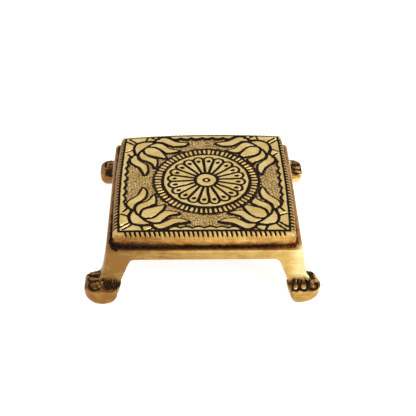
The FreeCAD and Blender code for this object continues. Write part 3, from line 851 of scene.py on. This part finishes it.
def toe_line_distance(t, s):
    """Distance to the nearest toe outline: two sides that close in on the root, and a round end."""
    nearest = np.full(t.shape, far_away)
    for middle, half_width, reach in toes:
        half = half_width * (0.6 + 0.4 * smooth_step(toe_root - 1.5, reach - 0.5, t))
        beside = np.abs(np.abs(s - middle) - half)
        ahead = np.abs(np.hypot(t - reach, s - middle) - half_width)
        distance = np.where(t > reach, ahead, np.hypot(np.maximum(toe_root - 1.2 - t, 0), beside))
        nearest = np.minimum(nearest, distance)
    return nearest


def hatch_distance(t, s):
    """Distance to the nearest of the diagonal cuts beside the toes."""
    nearest = np.full(t.shape, far_away)
    for k in range(hatch_count):
        first = hatch_first - hatch_pitch * k
        cut = ((first, hatch_near), (first - hatch_slant, hatch_far - 0.3 * (k % 3)))
        nearest = np.minimum(nearest, line_distance(t, s, cut))
    return nearest


# %% Where the smoothed skin is hollow, and where it looks up
wide_rounds = 10


def set_points(mesh, points):
    """Moves a mesh's points to places in mm."""
    mesh.vertices.foreach_set("co", (points * MM).astype(np.float32).ravel())
    mesh.update()


set_points(skin_mesh, place)
normals = vertex_values(skin_mesh, "normal")
x, y, z = place.T
# How far each point lies below the same skin when that is smoothed much more
wide = place.copy()
for _ in range(wide_rounds):
    wide += 0.5 * (neighbour_mean(wide) - wide)
sunk_in = ((wide - place) * normals).sum(axis=1)
upward = smooth_step(0.1, 0.45, normals[:, 2])
foot_top = smooth_step(6.2, 7.2, z) * smooth_fall(10.6, 12.6, z) * upward

# %% Press the cuts in
cut_depth = 0.5
foot_reach = 14
cut = np.zeros(count)
foot_dark = np.zeros(count)
for (cx, cy), (tx, ty), (sx, sy), _ in feet:
    dx, dy = x - cx * ledge_half_x, y - cy * ledge_half_y
    here = np.nonzero((np.abs(dx) < foot_reach) & (np.abs(dy) < foot_reach) & (z < foot_reach))
    t = (dx * tx + dy * ty + 0.3 * wander(x, y, 6, 31))[here]
    s = (dx * sx + dy * sy + 0.3 * wander(x, y, 6, 32))[here]
    s_toes = s + toe_lean * (t - 7)
    toe_lines = smooth_fall(0.38, 0.72, toe_line_distance(t, s_toes)) * smooth_step(2.8, 3.8, t)
    hatch = smooth_fall(0.25, 0.62, hatch_distance(t, s)) * smooth_fall(1.6, 2.6, t - 0.3 * s)
    cut[here] = np.maximum(cut[here], np.maximum(toe_lines, 0.9 * hatch) * foot_top[here])
    toe_shade = smooth_step(2.2, 3.4, t) * smooth_fall(8.0, 9.4, t)
    hatch_shade = smooth_fall(6.6, 8.2, s) * smooth_step(1.6, 2.6, s)
    toe_shade *= 0.6 + (0.5 if cx > 0 else 0.1) * smooth_fall(5.5, 7.5, t)
    shade = np.maximum.reduce([toe_shade, hatch_shade, 0.3 + 0 * t]) * foot_top[here]
    at_arch = smooth_fall(-5.2, -4.2, np.minimum(t, s))
    at_arch *= smooth_step(4.5, 6.5, z[here]) * smooth_fall(9.0, 10.4, z[here])
    foot_dark[here] = np.maximum.reduce([foot_dark[here], shade, 0.8 * at_arch])
place -= normals * (cut_depth * cut)[:, None]
print("points of the skin that the cuts press in:", int((cut > 0.5).sum()))

# %% The black seam round the plate, with painted shadow beside it, and a nick in the ledge
seam_clearance = 0.2
plate_corner = 2.5
past_side = np.abs(x) - plate_half_x - seam_clearance
past_end = np.abs(y - plate_shift_back) - plate_half_y - seam_clearance
gap_to_plate = np.hypot(np.maximum(past_side - 0.5 + plate_corner, 0),
                        np.maximum(past_end + plate_corner, 0)) - plate_corner
# The black seam is narrower on the left and right sides
gap_to_plate += 0.75 * smooth_step(-1.5, 0.8, past_side - past_end)
on_ledge = smooth_step(ledge_height - 0.8, ledge_height - 0.3, z)
# Black in the seam itself, and beside it on the ledge a painted shadow of the top's skirt, weaker towards
# the right
seam_and_shadow = smooth_fall(0.9, 3.2, gap_to_plate + 0.5 * wander(x, y, 3.5, 33)) * on_ledge
seam_and_shadow *= 0.85 - 0.3 * smooth_step(10, 45, x)
ledge_stain = smooth_fall(2.2, 3.9, gap_to_plate + 0.6 * wander(x, y, 5, 34)) * on_ledge
# The nick is at the front left corner
nick_line = ((-46.6, -43.2), (-46.2, -45.0), (-44.9, -45.9), (-44.5, -46.5))
nick = smooth_fall(0.4, 0.8, line_distance(x, y, nick_line) + (z < 25))
place[:, 2] -= cut_depth * nick
print("points of the skin in the seam:", int((seam_and_shadow > 0.5).sum()))

# %% What is black on the casting, and where shade is painted
apron_wall, leg_room_height = 3.4, 12
inside = (np.abs(x) < ledge_half_x - apron_wall) & (np.abs(y) < ledge_half_y - apron_wall)
inside = inside & (z < ledge_height - 0.5) & (z > leg_room_height)
underneath = smooth_step(0.4, 0.9, -normals[:, 2]) * smooth_step(2.0, 4.0, z)
hollows = smooth_step(0.06, 0.4, sunk_in)
edges = smooth_step(0.05, 0.25, -sunk_in)
patina_and_shade = np.maximum.reduce([cut, 0.42 * foot_dark, seam_and_shadow, nick, 0.35 * hollows, 0.2 * underneath,
                            0.25 * inside])
patina_and_shade *= 1 - 0.6 * edges * (1 - cut) * (1 - seam_and_shadow)

# %% How bright the casting was polished, where light and shade are painted on it, and how it was stained
# Painted light and shade: the metal is darker on the left and brighter on the right, as if lit from the
# right, and along its edges real wear carries a painted highlight
painted_light_left_to_right = np.interp(x + 0.1 * y, (-58, -35, -5, 25, 37, 43), (0.0, 0.04, 0.27, 0.29, 0.37, 0.84))
# Painted shade darkens the right side's ledge and apron, behind the front right leg
right_side = smooth_step(42, 46, x) * smooth_step(-46, -40, y) * smooth_step(14, 17, z)
polish_and_light = painted_light_left_to_right * (1 - 0.5 * right_side) - 0.25 * ledge_stain
on_pad = smooth_fall(7.2, 9.0, z) * (1 - 0.9 * smooth_step(10, 30, np.minimum(x, y)))
polish_and_light *= (1 - 0.7 * on_pad) * (1 - 0.7 * underneath)
# Painted highlight: edges are brightened beyond their real wear, more on the right and along the pads'
# upper edges, and the ledge's front arris gets a painted bright line
edge_highlight_strength = 0.05 + 0.35 * np.maximum(smooth_step(-40, -5, x), smooth_fall(8.4, 9.5, z))
front_arris = smooth_step(ledge_half_y - 0.9, ledge_half_y - 0.3, -y)
front_arris *= smooth_step(ledge_height - 1.1, ledge_height - 0.6, z)
wear_and_highlight = np.maximum(edges, 0.8 * front_arris) * (1 - right_side)
polish_and_light = (np.maximum(polish_and_light, 0) + edge_highlight_strength * wear_and_highlight) * (1 - 0.85 * foot_dark)
stain = 0.12 + 0.7 * ledge_stain + 0.4 * foot_dark + 0.25 * hollows
stain += 0.4 * np.maximum(underneath, inside) + 0.2 * on_pad
set_points(skin_mesh, place)
give_values(skin_mesh, {"patina_and_shade": patina_and_shade, "ground": np.zeros(count), "stain": stain, "polish_and_light": polish_and_light})
skin_mesh.polygons.foreach_set("use_smooth", np.ones(len(skin_mesh.polygons), bool))
print("mean polish of the casting:", round(float(np.clip(polish_and_light, 0, 1).mean()), 2))

# %% [markdown]
# ## Blackened and rubbed brass
# All of it is one metal. What changes is how far the black has been rubbed off, how brown the brass
# below it has gone, and how bright it was polished. On the rim and the frame casting the black and the
# polish also carry painted shade and painted highlights. Painted textures could hold all that. Here each
# mesh says it with values per point, which come from the same lines as its shape, so the black lies
# exactly in the cuts. One material mixes the finishes by them, broken up by noise so that no edge is
# clean. The matted ground is a pattern of cells.


# %% Small helpers for nodes
def new_material(name):
    """A material with one shader, whose sockets the caller sets."""
    material = bpy.data.materials.new(name)
    material.use_nodes = True
    tree = material.node_tree
    tree.nodes.clear()
    output = tree.nodes.new("ShaderNodeOutputMaterial")
    shader = tree.nodes.new("ShaderNodeBsdfPrincipled")
    tree.links.new(shader.outputs[0], output.inputs[0])
    return material, tree, shader


def put(socket, value):
    """Links another node's output to a socket, or writes the number there."""
    if isinstance(value, bpy.types.NodeSocket):
        socket.id_data.links.new(value, socket)
    else:
        socket.default_value = value


def calculate(tree, operation, first, second, clamp=False):
    """The result of one sum on two values, held between 0 and 1 if clamped."""
    node = tree.nodes.new("ShaderNodeMath")
    node.operation = operation
    node.use_clamp = clamp
    put(node.inputs[0], first)
    put(node.inputs[1], second)
    return node.outputs[0]


def mixed(tree, share, first, second, blend="MIX"):
    """The first colour turned into the second, or stained with it, by a share."""
    node = tree.nodes.new("ShaderNodeMix")
    node.data_type = "RGBA"
    node.blend_type = blend
    put(node.inputs[0], share)
    put(node.inputs[6], first)
    put(node.inputs[7], second)
    return node.outputs[2]


def ramp(tree, value, low, high, to_low, to_high):
    """A smooth change from one number to another while the value goes from low to high."""
    node = tree.nodes.new("ShaderNodeMapRange")
    node.interpolation_type = "SMOOTHSTEP"
    put(node.inputs[0], value)
    for socket, number in zip(node.inputs[1:5], (low, high, to_low, to_high)):
        put(socket, number)
    return node.outputs[0]


def noise(tree, place, scale, detail, roughness=0.55):
    """Cloudy random values about 0.5, finer for a larger scale."""
    node = tree.nodes.new("ShaderNodeTexNoise")
    for key, value in (("Vector", place), ("Scale", scale), ("Detail", detail), ("Roughness", roughness)):
        put(node.inputs[key], value)
    return node.outputs[0]


def mesh_value(tree, name):
    """A finish that the mesh stores for each point."""
    node = tree.nodes.new("ShaderNodeAttribute")
    node.attribute_name = name
    return node.outputs["Fac"]


# %% The brass
bright_brass = (0.90, 0.78, 0.41, 1)
warm_brass = (0.63, 0.435, 0.13, 1)
deep_brass = (0.27, 0.14, 0.038, 1)
copper_stain = (0.87, 0.48, 0.27, 1)
black_patina = (0.012, 0.007, 0.006, 1)
brown_patina = (0.15, 0.078, 0.03, 1)
cloud_scale, blotch_scale, scratch_scale, fine_scale, speck_scale = 110, 230, 200, 900, 2600
matting_scale = 700
bump_height = 0.15 * MM


def rubbed_brass(name, roughness, grain):
    """Brass that has been blackened and rubbed, with the matted ground where the mesh asks for it."""
    material, tree, shader = new_material(name)
    place = tree.nodes.new("ShaderNodeTexCoord").outputs["Object"]
    # Clouds, specks and long scratches, which break up every edge
    cloud = noise(tree, place, cloud_scale, 4)
    fine = noise(tree, place, fine_scale, 4)
    speck = noise(tree, place, speck_scale, 2)
    stretched = tree.nodes.new("ShaderNodeMapping")
    put(stretched.inputs["Vector"], place)
    put(stretched.inputs["Rotation"], (0.1, 0.2, 0.35))
    put(stretched.inputs["Scale"], (1.0, 9.0, 5.0))
    scratches = noise(tree, stretched.outputs[0], scratch_scale, 4, 0.65)
    uneven = calculate(tree, "ADD", ramp(tree, cloud, 0.3, 0.7, -0.1, 0.1),
                       ramp(tree, scratches, 0.3, 0.7, -0.1, 0.1))
    # The metal's colour, from deep to bright brass by its polish and by the painted light that this value
    # also holds
    polish_and_light = calculate(tree, "ADD", mesh_value(tree, "polish_and_light"), uneven, True)
    metal = mixed(tree, calculate(tree, "MULTIPLY", polish_and_light, 2.0, True), deep_brass, warm_brass)
    brightness = calculate(tree, "SUBTRACT", calculate(tree, "MULTIPLY", polish_and_light, 2.0), 1.0, True)
    metal = mixed(tree, brightness, metal, bright_brass)
    # The copper-brown stain lies in blotches
    blotch = ramp(tree, noise(tree, place, blotch_scale, 5, 0.65), 0.3, 0.6, 0.15, 1.0)
    stain = calculate(tree, "MULTIPLY", mesh_value(tree, "stain"), blotch, True)
    metal = mixed(tree, stain, metal, copper_stain, "MULTIPLY")
    # The matting is a pattern of cells with the black between them
    cells = tree.nodes.new("ShaderNodeTexVoronoi")
    cells.feature = "DISTANCE_TO_EDGE"
    put(cells.inputs["Vector"], place)
    put(cells.inputs["Scale"], matting_scale)
    ragged = calculate(tree, "ADD", cells.outputs["Distance"], ramp(tree, speck, 0.3, 0.7, -0.1, 0.1))
    between_cells = ramp(tree, ragged, 0.0, 0.15, 1, 0)
    punched = calculate(tree, "MULTIPLY", mesh_value(tree, "ground"), between_cells)
    # Where the black and the painted shade lie. It is browner in the matting and in fine clouds
    broken = calculate(tree, "ADD", mesh_value(tree, "patina_and_shade"), ramp(tree, fine, 0.3, 0.7, -0.16, 0.16))
    dark = ramp(tree, broken, 0.28, 0.62, 0, 1)
    dark = calculate(tree, "MAXIMUM", dark, punched)
    browner = calculate(tree, "MULTIPLY", punched, 0.7)
    browner = calculate(tree, "ADD", browner, ramp(tree, fine, 0.45, 0.7, 0, 0.5), True)
    patina_and_shade = mixed(tree, browner, black_patina, brown_patina)
    # Black patina is duller than brass, and hardly mirrors
    put(shader.inputs["Base Color"], mixed(tree, dark, metal, patina_and_shade))
    put(shader.inputs["Metallic"], ramp(tree, dark, 0.0, 1.0, 1.0, 0.1))
    put(shader.inputs["Specular IOR Level"], ramp(tree, dark, 0.0, 1.0, 0.5, 0.12))
    dulled = ramp(tree, dark, 0.0, 1.0, roughness, 0.85)
    dulled = calculate(tree, "ADD", dulled, ramp(tree, fine, 0.3, 0.7, -0.07, 0.07))
    put(shader.inputs["Roughness"], dulled)
    # Scratches, specks and the matting as fine relief
    height = calculate(tree, "ADD", scratches, speck)
    height = calculate(tree, "SUBTRACT", height, calculate(tree, "MULTIPLY", punched, 2.0))
    bump = tree.nodes.new("ShaderNodeBump")
    put(bump.inputs["Strength"], grain)
    put(bump.inputs["Distance"], bump_height)
    put(bump.inputs["Height"], height)
    put(shader.inputs["Normal"], bump.outputs[0])
    return material


chased_brass = rubbed_brass("chased_brass", 0.33, 0.6)
cast_brass = rubbed_brass("cast_brass", 0.37, 0.5)
turned_brass = rubbed_brass("turned_brass", 0.3, 0.3)
for piece, material in ((chased_field, chased_brass), (medallion, chased_brass), (beaded_rim, chased_brass),
                        (tray_underside, cast_brass), (frame_casting, cast_brass)):
    piece.data.materials.clear()
    piece.data.materials.append(material)
for node_name, node in frame["nodes"].items():
    if node_name.startswith("fixing_screw"):
        node.material_slots[0].material = turned_brass
        print(node_name, "is", turned_brass.name)

# %% Tie the pieces to the frame
for piece in (chased_field, medallion, beaded_rim, tray_underside):
    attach(piece, "root")
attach(frame_casting, "root")
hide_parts("top_plate")
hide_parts("leg_frame")

# %% [markdown]
# ## Camera, floor and light
# The camera stands where the photographer's did: in front of the table, looking down at about 39
# degrees. The floor and the world are white. A dark metal object on white could be lit by many lamps, but
# brass mostly mirrors what is round it, so the white world does most of the work. One soft lamp at the
# front right gives the bright edge that the brass shows there.

# %% Camera
picture_width = 416
focal_pixels = 895.4
sensor_width = 36
camera_place = Vector((-8.7, -386.5, 325.8)) * MM
yaw, pitch, roll = (math.radians(angle) for angle in (1.706, 38.623, 0.772))
forward = Vector((math.sin(yaw) * math.cos(pitch), math.cos(yaw) * math.cos(pitch), -math.sin(pitch)))
level_right = Vector((math.cos(yaw), -math.sin(yaw), 0))
level_up = level_right.cross(forward)
right = level_right * math.cos(roll) + level_up * math.sin(roll)
up = level_up * math.cos(roll) - level_right * math.sin(roll)
camera_data = bpy.data.cameras.new("camera")
camera_data.sensor_width = sensor_width
camera_data.lens = sensor_width * focal_pixels / picture_width
camera_data.clip_start = 0.01
camera = new_object("camera", camera_data)
turned_to = Matrix((right, up, -forward)).transposed().to_4x4()
camera.matrix_world = Matrix.Translation(camera_place) @ turned_to
bpy.context.scene.camera = camera
print("lens in mm:", round(camera_data.lens, 1))


# %% Floor
def seen_directly(tree):
    """1 for rays from the camera and for reflections of them, 0 for the light that falls on the table."""
    path = tree.nodes.new("ShaderNodeLightPath")
    seen = calculate(tree, "ADD", path.outputs["Is Camera Ray"], path.outputs["Is Glossy Ray"], True)
    return calculate(tree, "ADD", seen, path.outputs["Is Transmission Ray"], True)


floor_half = 1.5
floor_glow = 0.8
floor_mesh = bpy.data.meshes.new("floor")
floor_corners = [(floor_half * cx, floor_half * cy, 0) for cx, cy in corners]
floor_mesh.from_pydata(floor_corners, [], [(0, 1, 2, 3)])
floor = new_object("floor", floor_mesh)
white_floor, tree, shader = new_material("white_floor")
glow = calculate(tree, "MULTIPLY", seen_directly(tree), floor_glow)
for key, value in (("Base Color", (0.9, 0.9, 0.9, 1)), ("Roughness", 0.9), ("Specular IOR Level", 0.1),
                   ("Emission Color", (1, 1, 1, 1)), ("Emission Strength", glow)):
    put(shader.inputs[key], value)
floor_mesh.materials.append(white_floor)
print("floor is", 2 * floor_half, "m wide")

# %% World
world_fill = 0.5
world = bpy.data.worlds.new("white_world")
bpy.context.scene.world = world
world.use_nodes = True
tree = world.node_tree
background = tree.nodes["Background"]
put(background.inputs["Color"], (1, 1, 1, 1))
put(background.inputs["Strength"], ramp(tree, seen_directly(tree), 0, 1, world_fill, 1.0))

# %% Lamp
lamp_place = Vector((420, -300, 420)) * MM
table_middle = Vector((0, 0, 20)) * MM
lamp_data = bpy.data.lights.new("key_lamp", "AREA")
lamp_data.shape = "SQUARE"
lamp_data.size = 250 * MM
lamp_data.energy = 1.6
lamp_data.color = (1, 0.97, 0.92)
lamp = new_object("key_lamp", lamp_data)
lamp.location = lamp_place
lamp.rotation_euler = (table_middle - lamp_place).to_track_quat("-Z", "Y").to_euler()
print("lamp to table in mm:", round((table_middle - lamp_place).length / MM))

# %% View settings
bpy.context.scene.view_settings.view_transform = "Standard"
